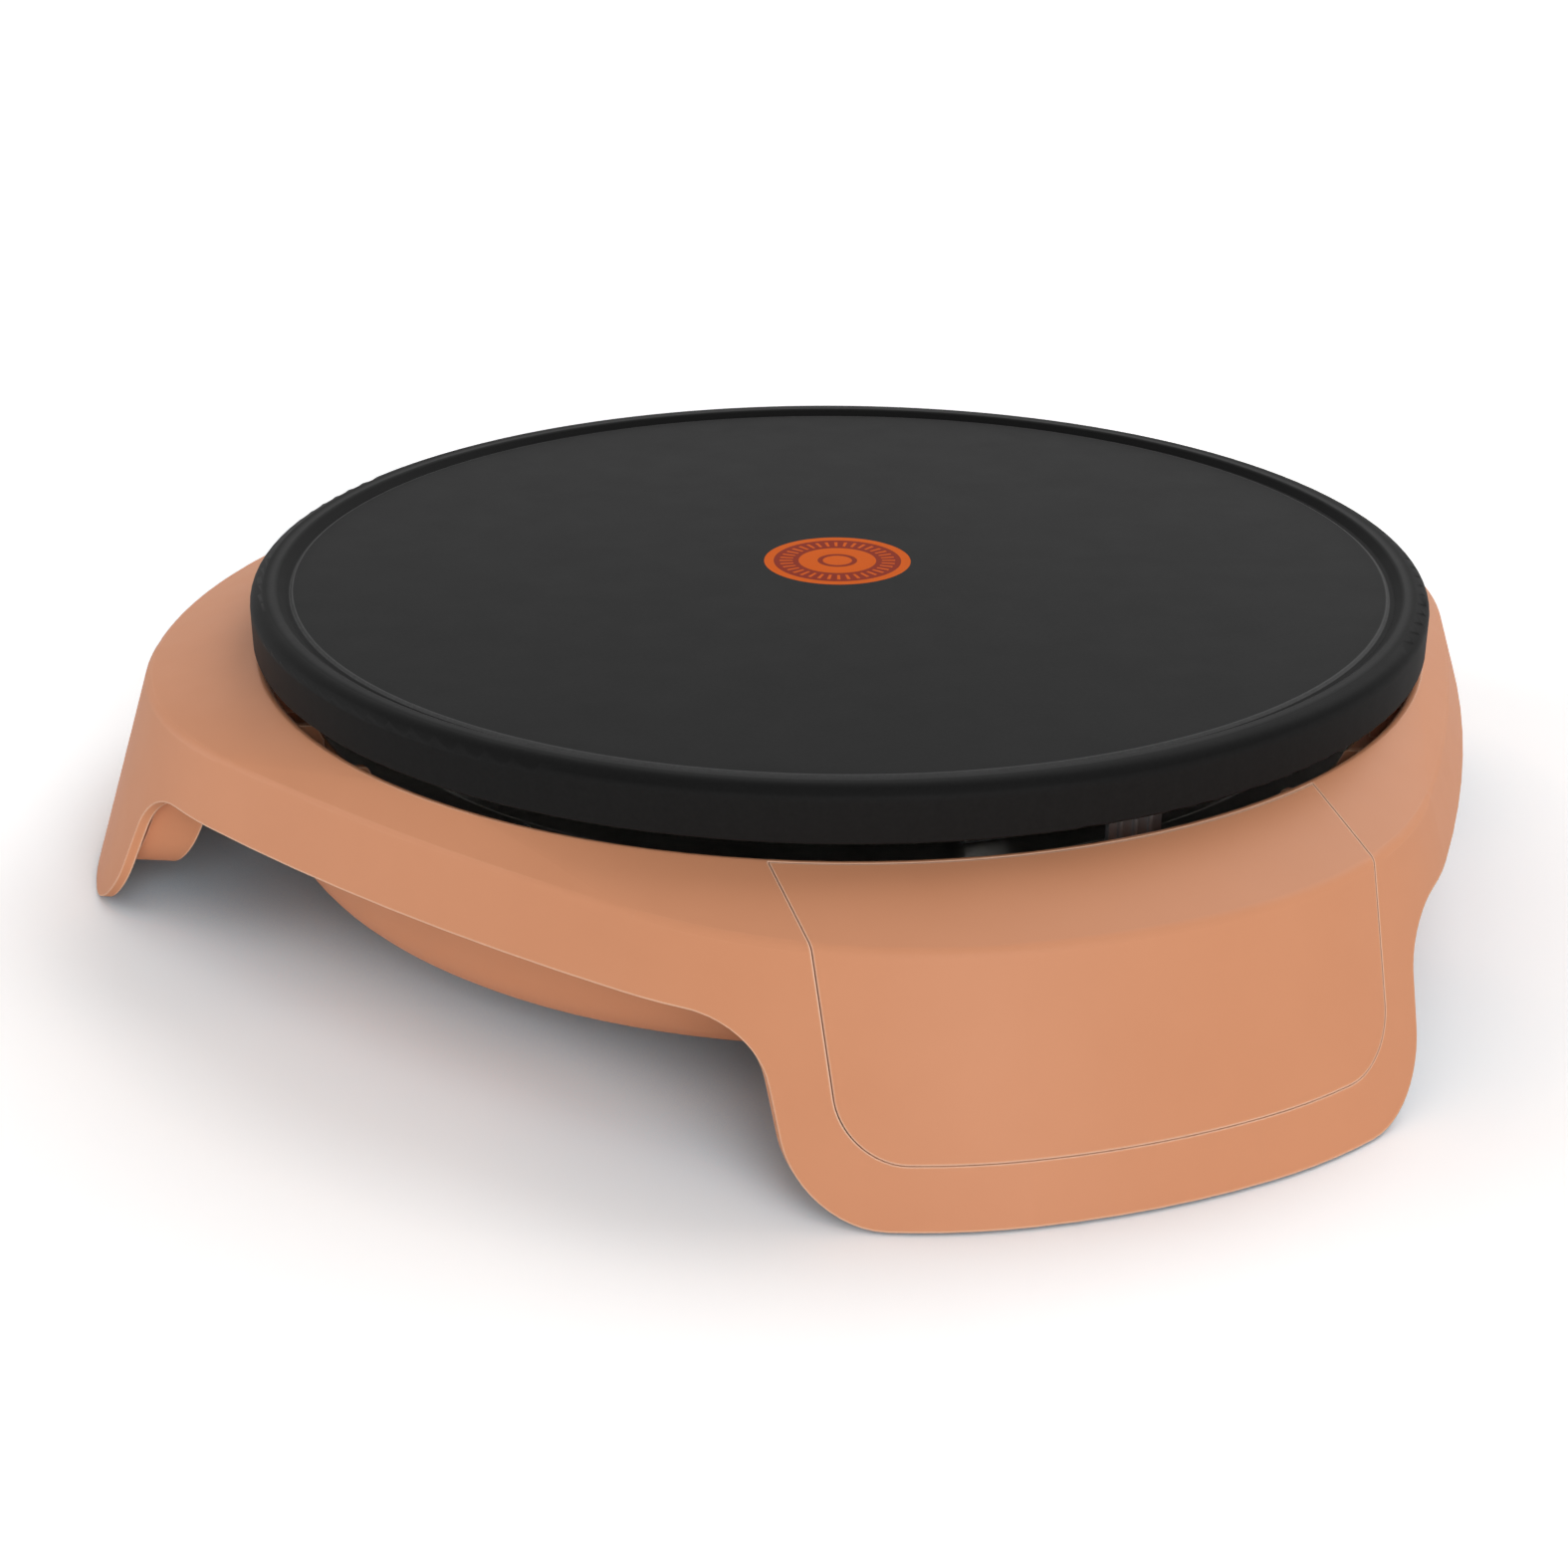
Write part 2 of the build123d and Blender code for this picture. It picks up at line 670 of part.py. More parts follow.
# ---------------------------------------------------------------- leg liners and feet
def leg_liner(angle):
    """Tray behind the wall of the leg at an angle, open towards the wall; drawn along +X."""
    band = flared_block(liner_start) - flared_block(liner_start + liner_depth)
    hollow = flared_block(liner_start - liner_gap) - flared_block(liner_start + liner_depth - liner_wall)
    band = on_leg(band, -angle)
    hollow = on_leg(hollow, -angle)
    tray = band & leg_prism(liner_inset, liner_foot_height, liner_top_height)
    room_foot = liner_foot_height + liner_wall
    tray -= hollow & leg_prism(liner_inset + liner_wall, room_foot, liner_top_height - liner_wall)
    for x, y in liner_screw_places(0):
        tray -= screw_hole(x, y, liner_top_height - 2 * liner_wall, far)
    return tray - disc(foot_spigot_radius + fit_gap, 0, 2 * liner_foot_height, foot_reach(), 0)


def foot_reach():
    """Distance of the foot's middle from the axis, inside the leg's wall."""
    inner_face = leg_radius + (shoulder_height - liner_foot_height) * flare - liner_start
    return inner_face - liner_depth / 2 - foot_outward


def rubber_foot():
    """Oblong pad with a spigot up into the liner, for a leg along +X."""
    pad = extrude(RectangleRounded(foot_width, foot_length, foot_round), liner_foot_height)
    pad = fillet(pad.edges().sort_by(Axis.Z)[0], foot_edge)
    spigot_top = liner_foot_height + liner_wall + foot_spigot_stand
    spigot = disc(foot_spigot_radius, liner_foot_height, spigot_top)
    return Pos(foot_reach(), 0, 0) * (pad + spigot)


# ---------------------------------------------------------------- reflector and plate supports
def element_leg_place(side):
    """Plan place of one cold end of the element; both are near +Y."""
    half_gap = radians(element_half_gap_deg)
    x = element_radius * sin(half_gap) - element_bend * cos(half_gap)
    y = element_radius * cos(half_gap) + element_bend * sin(half_gap)
    return side * x, y


def reflector_pan():
    """Pressed dish: rim on the ledge, sloping wall, flat floor with its holes."""
    t = reflector_sheet
    wall_top = ledge_radius - ledge_gap
    pan = turned([
        (0, reflector_floor_height, 0), (reflector_floor_radius, reflector_floor_height, reflector_bend),
        (wall_top, ledge_top, reflector_rim_bend - t), (reflector_rim_radius, ledge_top, 0),
        (reflector_rim_radius, ledge_top + t, 0),
        (wall_top - t * wall_slant, ledge_top + t, reflector_rim_bend),
        (reflector_floor_radius - t * wall_slant, reflector_top, reflector_bend - t), (0, reflector_top, 0),
    ])
    for x, y in [*reflector_screw_places(), *support_screw_places()]:
        pan -= screw_hole(x, y, ledge_height, far)
    for side in (-1, 1):
        x, y = element_leg_place(side)
        pan -= disc(element_tube / 2 + element_hole_gap, 0, reflector_top + 1, x, y)
    for x, y, _, _ in rivet_places():
        pan -= screw_hole(x, y, 0, reflector_top + 1)
    return pan - disc(rod_hole_radius, 0, reflector_top + 1)


def plate_support():
    """Bent steel bracket under the plate, with three beads on its outer face, for +X."""
    foot_low = ledge_top + reflector_sheet
    outer = support_outer_radius
    t = support_sheet
    foot_inner = ledge_radius + support_foot_inset
    reach = outer - support_reach
    outline = section([
        (foot_inner, foot_low, 0), (outer, foot_low, sheet_bend),
        (outer, support_top, sheet_bend), (reach, support_top, 0),
        (reach, support_top - t, 0), (outer - t, support_top - t, sheet_bend_inside),
        (outer - t, foot_low + t, sheet_bend_inside), (foot_inner, foot_low + t, 0),
    ])
    bracket = Pos(0, support_width / 2, 0) * extrude(outline, support_width, dir=(0, -1, 0))
    bead = disc(bead_radius, foot_low + bead_margin, support_top - bead_margin)
    for side in (-1, 0, 1):
        bracket += Pos(outer, side * bead_spacing, 0) * bead
    centre = (ledge_radius + reflector_rim_radius) / 2
    return bracket - screw_hole(centre, 0, 0, foot_low + t)


# ---------------------------------------------------------------- heating element
def element_height():
    return plate_under - element_gap - element_tube / 2


def heating_element():
    """Sheathed tube: nearly a full ring, each end bent down to a cold leg."""
    high = element_height()
    bend_low = high - element_bend
    half_gap = radians(element_half_gap_deg)

    def end(side):
        ring = Vector(side * element_radius * sin(half_gap), element_radius * cos(half_gap), high)
        x, y = element_leg_place(side)
        leg = Vector(x, y, bend_low)
        centre = Vector(ring.X, ring.Y, bend_low)
        middle = centre + ((leg - centre) + (ring - centre)).normalized() * element_bend
        return Line((x, y, element_end_height), leg), ThreePointArc(leg, middle, ring), ring

    first_leg, first_bend, start = end(1)
    last_leg, last_bend, finish = end(-1)
    loop = ThreePointArc(start, (0, -element_radius, high), finish)
    path = Wire([first_leg, first_bend, loop, last_bend, last_leg])
    section_plane = Plane(origin=first_leg @ 0, z_dir=(0, 0, 1))
    return sweep(section_plane * Circle(element_tube / 2), path=path)


def element_pin(side):
    x, y = element_leg_place(side)
    return disc(pin_diameter / 2, element_end_height - pin_length, element_end_height, x, y)


def element_bush(side):
    x, y = element_leg_place(side)
    low = element_end_height - bush_length
    return disc(bush_diameter / 2, low, element_end_height, x, y) - disc(
        pin_diameter / 2 + pilot_gap, low, element_end_height, x, y)


def element_bracket():
    """Bent strip: foot on the reflector, upright, and a saddle under the tube, for +X."""
    t = bracket_sheet
    inner = element_radius - bracket_foot
    saddle_top = element_height()
    outline = section([
        (inner, reflector_top, 0), (element_radius + t / 2, reflector_top, sheet_bend),
        (element_radius + t / 2, saddle_top, 0), (element_radius - t / 2, saddle_top, 0),
        (element_radius - t / 2, reflector_top + t, sheet_bend_inside), (inner, reflector_top + t, 0),
    ])
    strip = Pos(0, bracket_width / 2, 0) * extrude(outline, bracket_width, dir=(0, -1, 0))
    collar = Rot(90, 0, 0) * extrude(Circle(element_tube / 2 + bracket_sheet), bracket_width / 2, both=True)
    cut = Rot(90, 0, 0) * extrude(Circle(element_tube / 2 + saddle_clearance), bracket_width, both=True)
    mouth = Pos(0, 0, element_tube) * Box(far, 2 * bracket_width, 2 * element_tube)
    here = Pos(element_radius, 0, saddle_top)
    strip += here * (collar - mouth)
    strip -= here * cut
    return strip - screw_hole(element_radius - bracket_foot / 2, 0, reflector_top - 1, reflector_top + t + 1)


# ---------------------------------------------------------------- sensor
def sensor_guide():
    """Flanged tube on the reflector, in which the sensor slides."""
    base = disc(guide_base_radius, reflector_top, reflector_top + support_sheet)
    tube = disc(guide_bore + guide_wall, reflector_top, reflector_top + guide_height)
    bore_floor = reflector_top + support_sheet
    guide = base + tube - disc(guide_bore, bore_floor, far)
    for side in (-1, 1):
        guide -= screw_hole(side * guide_rivet_offset, 0, 0, far)
    return guide - disc(rod_hole_radius, 0, far)


def sensor_top():
    return plate_under - sensor_gap


def sensor_cap():
    """Disc that rests under the plate, on a hollow stem that slides in the guide."""
    low = sensor_top() - sensor_cap_thickness
    face = disc(sensor_radius, low, sensor_top())
    face = fillet(face.edges().sort_by(Axis.Z)[-1], sensor_edge)
    outer = guide_bore - stem_clearance
    stem = disc(outer, low - stem_length, low) - disc(outer - stem_wall, low - stem_length, low)
    return face + stem


def spring_ends():
    low = reflector_top + support_sheet + spring_gap
    return low, sensor_top() - sensor_cap_thickness - spring_gap


def sensor_spring():
    """Round-wire compression spring between the guide's floor and the cap."""
    low, high = spring_ends()
    height = high - low - spring_wire
    coil = Helix(pitch=height / spring_turns, height=height, radius=spring_radius)
    wire = sweep(Plane(origin=coil @ 0, z_dir=coil % 0) * Circle(spring_wire / 2), path=coil, is_frenet=True)
    return Pos(0, 0, low + spring_wire / 2) * wire


def push_rod():
    """Ceramic rod from the cap down to the switch's button."""
    high = sensor_top() - sensor_cap_thickness
    return disc(rod_radius, switch_top + sensor_travel + rod_air, high)


def thermostat_switch():
    """Moulded switch block under the reflector, with a shallow button well and two blades."""
    long, wide, tall = switch_size
    block = Pos(0, 0, switch_top - tall / 2) * Box(long, wide, tall)
    block = fillet(block.edges().filter_by(Axis.Z), switch_round)
    return block - disc(rod_hole_radius, switch_top - switch_well, switch_top)


def switch_blades():
    long, thick, tall = switch_blade
    for side in (-1, 1):
        yield Pos(side * switch_blade_spread / 2, 0, blade_foot + tall / 2) * Box(thick, long, tall)


def switch_bracket():
    """Hanger strap between the reflector's underside and the switch."""
    long, wide, tall = switch_size
    width = wide - 2 * hanger_inset
    level = reflector_floor_height - support_sheet / 2
    strap = Pos(0, 0, level) * Box(long + 2 * hanger_wing, width, support_sheet)
    drop = tall + sensor_gap + support_sheet
    for side in (-1, 1):
        x = side * (long / 2 + fit_gap + support_sheet / 2)
        strap += Pos(x, 0, reflector_floor_height - drop / 2) * Box(support_sheet, width, drop)
        strap -= screw_hole(side * guide_rivet_offset, 0, 0, far)
    return strap - disc(rod_hole_radius, 0, far)


# ---------------------------------------------------------------- rivets
def rivet_places():
    """Plan place and the two seats of each rivet through the reflector's floor."""
    under = reflector_floor_height
    for angle in bracket_angles:
        x, y = polar(element_radius - bracket_foot / 2, angle)
        yield x, y, under, reflector_top + bracket_sheet
    for side in (-1, 1):
        yield side * guide_rivet_offset, 0, under - support_sheet, reflector_top + support_sheet
    yield *earth_place, under - tag_sheet, reflector_top
    yield fuse_place[0], fuse_place[1] + clip_rivet_offset(), under - support_sheet, reflector_top


def rivet(x, y, low, high):
    """Shank between two seats with a head on each."""
    shank = disc(rivet_radius, low, high)
    lower = disc(rivet_head / 2, low - rivet_head_height, low)
    upper = disc(rivet_head / 2, high, high + rivet_head_height)
    lower = fillet(lower.edges().sort_by(Axis.Z)[0], rivet_edge)
    upper = fillet(upper.edges().sort_by(Axis.Z)[-1], rivet_edge)
    return Pos(x, y, 0) * (shank + lower + upper)


# ---------------------------------------------------------------- fuse, block and leads
def fuse_level():
    return reflector_floor_height - fuse_radius - sleeve_wall - fit_gap - support_sheet


def level_rod(radius, length, x, y, z):
    """Cylinder along X about a point."""
    return Pos(x - length / 2, y, z) * Rot(0, 90, 0) * extrude(Circle(radius), length)


def thermal_fuse():
    x, y = fuse_place
    body = level_rod(fuse_radius, fuse_length, x, y, fuse_level())
    return body + level_rod(fuse_wire_radius, fuse_length + 2 * fuse_wire_length, x, y, fuse_level())


def fuse_sleeve():
    x, y = fuse_place
    inner = fuse_radius + fit_gap / 2
    length = fuse_length + 2 * sleeve_overhang
    tube = level_rod(inner + sleeve_wall, length, x, y, fuse_level())
    return tube - level_rod(inner, 2 * length, x, y, fuse_level())


def fuse_clip():
    """Strap that holds the sleeved fuse up against the reflector."""
    x, y = fuse_place
    inner = fuse_radius + sleeve_wall + fit_gap
    wrap = level_rod(inner + support_sheet / 2, clip_width, x, y, fuse_level())
    tab_length = clip_rivet_offset() + clip_end
    tab = Pos(x, y + tab_length / 2, reflector_floor_height - support_sheet / 2)
    tab *= Box(clip_width, tab_length, support_sheet)
    bridge = Pos(x, y, (fuse_level() + reflector_floor_height) / 2)
    top = bridge * Box(clip_width, 2 * inner + support_sheet, reflector_floor_height - fuse_level())
    clip = wrap + top + tab - level_rod(inner, 2 * clip_width, x, y, fuse_level())
    return clip - screw_hole(x, y + clip_rivet_offset(), 0, far)


def clip_rivet_offset():
    """From the fuse's middle to the clip's rivet."""
    return fuse_radius + sleeve_wall + fit_gap + support_sheet + rivet_head


def terminal_block():
    long, wide, tall = block_size
    block = Pos(0, block_y, bowl_floor + tall / 2) * Box(long, wide, tall)
    block = fillet(block.edges().filter_by(Axis.Z), block_round)
    for x in terminal_places():
        block -= disc(block_well_radius, lead_level, bowl_floor + tall, x, block_y)
        block -= Pos(x, block_y, lead_level) * Box(block_way, 2 * wide, block_way)
    return block


def terminal_places():
    """Ways across the block: neutral, earth and live."""
    return -block_pitch, 0, block_pitch


def terminal_screws():
    """Small slotted screws down in the block's wells, each on its lead."""
    radius = block_well_radius - fit_gap
    low = lead_level + lead_diameter / 2 + pilot_gap
    high = bowl_floor + block_size[2] - block_screw_drop
    for x in terminal_places():
        slot = Pos(x, block_y, high) * Box(3 * radius, drive_width, 2 * drive_depth)
        yield disc(radius, low, high, x, block_y) - slot


def lead(points, bend):
    """Insulated lead: level and upright runs joined by arcs."""
    path = FilletPolyline(*points, radius=bend)
    start = Plane(origin=path @ 0, z_dir=path % 0)
    return sweep(start * Circle(lead_diameter / 2), path=Wire(path.edges()))


def earth_tag():
    """Ring tongue on the reflector's underside."""
    x, y = earth_place
    width, length = tag_tongue
    ring = disc(tag_ring_radius, reflector_floor_height - tag_sheet, reflector_floor_height, x, y)
    tongue = Pos(x, y + length / 2, reflector_floor_height - tag_sheet / 2) * Box(width, length, tag_sheet)
    return ring + tongue - screw_hole(x, y, 0, far)


def pin_sleeve(side):
    """Crimped push-on sleeve around one of the element's pins."""
    x, y = element_leg_place(side)
    bare_low, bare_high = pin_sleeve_ends
    low = element_end_height - pin_length + bare_low
    high = element_end_height - bush_length - bare_high
    outer = disc(pin_diameter / 2 + pin_sleeve_wall, low, high, x, y)
    return outer - disc(pin_diameter / 2 + pilot_gap, low, high, x, y)


def blade_sleeve(side):
    """Push-on sleeve around one of the switch's blades."""
    long, thick, tall = switch_blade
    below, above = blade_sleeve_reach
    x = side * switch_blade_spread / 2
    wall = 2 * blade_sleeve_wall
    shell = Pos(x, 0, blade_foot + (above - below) / 2) * Box(thick + wall, long + wall, above + below)
    return shell - Pos(x, 0, blade_foot + tall / 2) * Box(thick + 2 * pilot_gap, long + 2 * pilot_gap, tall)


def leads():
    """Name, sleeves and route of each lead."""
    neutral_x, earth_way_x, live_x = terminal_places()
    entry = block_y - block_entry
    near = block_y - lead_straight
    pin_x, pin_y = element_leg_place(1)
    pin_level = element_end_height - (bush_length + pin_length) / 2 + pin_sleeve_ends[1]
    pin_side = pin_y - pin_diameter / 2 - pin_sleeve_wall
    blade_x = switch_blade_spread / 2
    blade_end = blade_foot - blade_lead_start
    fuse_x, fuse_y = fuse_place
    fuse_z = fuse_level()
    fuse_end = fuse_length / 2 + fuse_wire_length
    earth_x, earth_y = earth_place
    tag_level = reflector_floor_height - tag_sheet - lead_diameter / 2
    yield "neutral_lead", [pin_sleeve(-1)], [
        (neutral_x, entry, lead_level), (neutral_x, near, lead_level),
        (-pin_x, near, pin_level), (-pin_x, pin_side, pin_level)]
    yield "switched_lead", [pin_sleeve(1), blade_sleeve(1)], [
        (blade_x, 0, blade_end), (blade_x, 0, blade_lead_level),
        (pin_x, near - lead_rise_run, blade_lead_level), (pin_x, near, pin_level),
        (pin_x, pin_side, pin_level)]
    yield "live_lead", [], [
        (live_x, entry, lead_level), (live_x, block_y - live_straight, lead_level),
        (fuse_x + live_step[0], fuse_y + live_step[1], lead_level + live_step[2]),
        (fuse_x + live_turn[0], fuse_y + live_turn[1], fuse_z - live_turn[2]),
        (fuse_x + live_end, fuse_y, fuse_z), (fuse_x + fuse_end, fuse_y, fuse_z)]
    yield "fuse_lead", [blade_sleeve(-1)], [
        (fuse_x - fuse_end, fuse_y, fuse_z), (fuse_x - fuse_lead_turn, fuse_y, fuse_z),
        (-blade_x, fuse_y / 2, blade_lead_level), (-blade_x, 0, blade_lead_level), (-blade_x, 0, blade_end)]
    yield "earth_lead", [], [
        (earth_way_x, entry, lead_level), (earth_way_x, block_y - earth_straight, lead_level),
        (earth_x, earth_y + earth_turn[0], lead_level + earth_turn[1]),
        (earth_x, earth_y + earth_end, tag_level)]


# ---------------------------------------------------------------- colours
copper_paint = (0.85, 0.58, 0.44)
coating = (0.13, 0.13, 0.13)
steel = (0.72, 0.73, 0.74)
bright = (0.82, 0.82, 0.80)
zinc = (0.62, 0.63, 0.65)
ceramic = (0.92, 0.90, 0.85)
rubber = (0.08, 0.08, 0.08)
dark_plastic = (0.16, 0.16, 0.17)
aluminium = (0.80, 0.81, 0.82)
brass = (0.78, 0.62, 0.32)
silicone = (0.75, 0.20, 0.12)
lead_colours = {
    "neutral_lead": (0.12, 0.30, 0.65), "live_lead": (0.42, 0.24, 0.13), "fuse_lead": (0.86, 0.84, 0.80),
    "switched_lead": (0.86, 0.84, 0.80), "earth_lead": (0.35, 0.62, 0.20),
}

# ---------------------------------------------------------------- build and write
leg_names = dict(zip(("front", "right", "left"), leg_angles))
support_names = dict(zip(("front", "right", "left"), support_thirds))
bracket_names = dict(zip(("right", "left", "front"), bracket_angles))

save("griddle_plate", griddle_plate(), coating)
save("base_shell", base_shell(), copper_paint)
save("front_panel", front_panel(), copper_paint)
save("bottom_cover", bottom_cover(), copper_paint)
for name, angle in leg_names.items():
    save(f"leg_liner_{name}", on_leg(leg_liner(angle), angle), copper_paint)
    save(f"foot_{name}", on_leg(rubber_foot(), angle), rubber)
for name, angle in support_names.items():
    save(f"plate_support_{name}", on_leg(plate_support(), angle + support_offset_deg), steel)
save("reflector_pan", reflector_pan(), bright)
save("heating_element", heating_element(), zinc)
save("element_pins", group([element_pin(-1), element_pin(1)]), steel)
save("element_bushes", group([element_bush(-1), element_bush(1)]), ceramic)
for name, angle in bracket_names.items():
    save(f"element_bracket_{name}", on_leg(element_bracket(), angle), steel)
save("sensor_guide", sensor_guide(), steel)
save("sensor_cap", sensor_cap(), aluminium)
save("sensor_spring", sensor_spring(), steel)
save("push_rod", push_rod(), ceramic)
save("thermostat_switch", thermostat_switch(), dark_plastic)
save("switch_blades", group(switch_blades()), brass)
save("switch_bracket", switch_bracket(), steel)
save("thermal_fuse", thermal_fuse(), brass)
save("fuse_sleeve", fuse_sleeve(), silicone)
save("fuse_clip", fuse_clip(), steel)
save("terminal_block", terminal_block(), ceramic)
save("terminal_screws", group(terminal_screws()), brass)
save("earth_tag", earth_tag(), brass)
for name, sleeves, route in leads():
    save(name, group([lead(route, lead_bend), *sleeves]), lead_colours[name])
save("cord_inlet", cord_inlet(), dark_plastic)
save("cord_clamp", cord_clamp(), dark_plastic)
cover_screws = [screw(x, y, bowl_flange_height, screw_length, -1) for x, y in cover_screw_places()]
save("cover_screws", group(cover_screws), zinc)
liner_seat = liner_top_height - liner_wall
liner_places = [place for angle in leg_angles for place in liner_screw_places(angle)]
save("liner_screws", group(screw(x, y, liner_seat, liner_screw_length, -1) for x, y in liner_places), zinc)
rim_seat = ledge_top + reflector_sheet
reflector_screws = [screw(x, y, rim_seat, screw_length) for x, y in reflector_screw_places()]
save("reflector_screws", group(reflector_screws), zinc)
support_seat = rim_seat + support_sheet
support_screws = [screw(x, y, support_seat, screw_length) for x, y in support_screw_places()]
save("support_screws", group(support_screws), zinc)
clamp_seat = inlet_height + clamp_size[2]
clamp_screws = [screw(x, clamp_y, clamp_seat, screw_length) for x in clamp_screw_xs]
save("clamp_screws", group(clamp_screws), zinc)
save("rivets", group(rivet(*place) for place in rivet_places()), zinc)
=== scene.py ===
"""Electric crepe maker: the finish of every piece, the printed heat indicator, the light and the camera.

Everything is in metres in the part's own frame: +Z up, the plate's axis on Z, the front leg towards -Y.
"""
import json
import math

import bpy
from mathutils import Matrix, Vector


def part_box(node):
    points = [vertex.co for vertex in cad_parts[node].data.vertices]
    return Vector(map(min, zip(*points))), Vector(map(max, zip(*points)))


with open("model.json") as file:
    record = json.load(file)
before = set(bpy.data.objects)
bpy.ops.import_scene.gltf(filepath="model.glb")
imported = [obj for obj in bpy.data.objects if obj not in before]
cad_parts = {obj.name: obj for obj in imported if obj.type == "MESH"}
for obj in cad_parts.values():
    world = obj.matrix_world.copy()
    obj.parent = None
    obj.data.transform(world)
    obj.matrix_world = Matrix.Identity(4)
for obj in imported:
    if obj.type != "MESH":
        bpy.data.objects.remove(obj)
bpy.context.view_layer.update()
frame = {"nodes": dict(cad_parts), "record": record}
nodes = frame["nodes"]
mounts = {mount["name"]: mount for mount in frame["record"]["mounts"]}

MM = 0.001
cooking_height = mounts["cooking_surface"]["pos_m"][2]
plate_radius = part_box("griddle_plate")[1].x     # the plate's axis is Z


# ---------------------------------------------------------------- camera
camera_distance = 765.2 * MM      # from the middle of the cooking surface
camera_azimuth = -20.0            # degrees, towards the object's left
camera_elevation = 18.65          # degrees above the cooking surface
aim_heading = 18.73               # degrees from +Y towards +X
aim_dip = 23.74                   # degrees below the horizon
camera_roll = -0.09
lens_mm = 57.71
sensor_mm = 36.0


def direction(azimuth, elevation):
    """Unit vector away from the object: azimuth from -Y towards +X, elevation above level, in degrees."""
    turned, raised = math.radians(azimuth), math.radians(elevation)
    level = math.cos(raised)
    return Vector((math.sin(turned) * level, -math.cos(turned) * level, math.sin(raised)))


def set_camera():
    """Place from a distance and two angles about the plate's middle, aim from a heading and a dip."""
    away = direction(camera_azimuth, camera_elevation)
    forward = -direction(-aim_heading, aim_dip)
    right = forward.cross(Vector((0, 0, 1))).normalized()
    right = Matrix.Rotation(math.radians(camera_roll), 3, forward) @ right
    up = right.cross(forward)
    data = bpy.data.cameras.new("camera")
    data.lens = lens_mm
    data.sensor_width = sensor_mm
    data.clip_start, data.clip_end = 0.01, 100.0
    camera = bpy.data.objects.new("camera", data)
    bpy.context.scene.collection.objects.link(camera)
    turn = Matrix((right, up, -forward)).transposed().to_4x4()
    camera.matrix_world = Matrix.Translation(Vector((0, 0, cooking_height)) + away * camera_distance) @ turn
    bpy.context.scene.camera = camera


# ---------------------------------------------------------------- materials: helpers
colour_a, colour_b, mixed = 6, 7, 2                 # a Mix node's sockets when it mixes colours
wave_step = 2 * math.pi / 20                        # between a Wave texture's rings at scale 1
diagonal_step = 2 * math.pi / 10 / math.sqrt(3)     # between its diagonal bands at scale 1


def linear(code):
    """sRGB hex to linear RGBA."""
    parts = [int(code[i:i + 2], 16) / 255 for i in (1, 3, 5)]
    return (*[c / 12.92 if c <= 0.04045 else ((c + 0.055) / 1.055) ** 2.4 for c in parts], 1.0)


def node(tree, kind, inputs=None, **settings):
    """Add one node: inputs maps a socket's name or number to a value or to the output that feeds it."""
    made = tree.nodes.new("ShaderNode" + kind)
    for name, value in settings.items():
        setattr(made, name, value)
    for key, value in (inputs or {}).items():
        if isinstance(value, bpy.types.NodeSocket):
            tree.links.new(value, made.inputs[key])
        else:
            made.inputs[key].default_value = value
    return made


def start(name, colour, roughness, **sockets):
    """New material: its tree, its Principled surface and its Object coordinates."""
    material = bpy.data.materials.new(name)
    material.use_nodes = True
    tree = material.node_tree
    surface = tree.nodes["Principled BSDF"]
    surface.inputs["Base Color"].default_value = linear(colour)
    surface.inputs["Roughness"].default_value = roughness
    for key, value in sockets.items():
        surface.inputs[key.replace("_", " ")].default_value = value
    place = node(tree, "TexCoord").outputs["Object"]
    return material, tree, surface, place


def mottle(tree, surface, place, dark, light, size_mm, detail=3.0):
    """Base colour that wanders between two close tones over patches of the size given. Gives the tone."""
    noise = node(tree, "TexNoise", {"Vector": place, "Scale": 1 / (size_mm * MM), "Detail": detail})
    tone = node(tree, "Mix", {"Factor": noise.outputs[0], colour_a: linear(dark), colour_b: linear(light)},
                data_type="RGBA").outputs[mixed]
    tree.links.new(tone, surface.inputs["Base Color"])
    return tone


def wander(tree, surface, place, low, high, size_mm):
    """Roughness that wanders between two values over patches of the size given."""
    noise = node(tree, "TexNoise", {"Vector": place, "Scale": 1 / (size_mm * MM), "Detail": 2.0})
    level = node(tree, "MapRange", {"Value": noise.outputs[0], "To Min": low, "To Max": high})
    tree.links.new(level.outputs[0], surface.inputs["Roughness"])


def pebble(tree, surface, place, size_mm, height_mm, soften_mm=0.0):
    """Small relief of the grain size and height given, over edges that are softened by a small radius."""
    noise = node(tree, "TexNoise", {"Vector": place, "Scale": 1 / (size_mm * MM), "Detail": 2.0})
    bump = node(tree, "Bump", {"Height": noise.outputs[0], "Distance": height_mm * MM, "Strength": 1.0})
    if soften_mm:
        soft = node(tree, "Bevel", {"Radius": soften_mm * MM}, samples=4)
        tree.links.new(soft.outputs[0], bump.inputs["Normal"])
    tree.links.new(bump.outputs[0], surface.inputs["Normal"])


def sharp_edge(tree, reach_mm):
    """1 along sharp edges, out to the reach given, and 0 on open faces and soft rounds: it compares a
    rounded normal with the face's own, and starts where the cosine between them leaves 1."""
    round_normal = node(tree, "Bevel", {"Radius": reach_mm * MM}, samples=6).outputs[0]
    own_normal = node(tree, "NewGeometry").outputs["Normal"]
    compare = node(tree, "VectorMath", {0: round_normal, 1: own_normal}, operation="DOT_PRODUCT")
    cosine = compare.outputs["Value"]
    return node(tree, "MapRange", {"Value": cosine, "From Min": 0.995, "From Max": 0.93}).outputs[0]


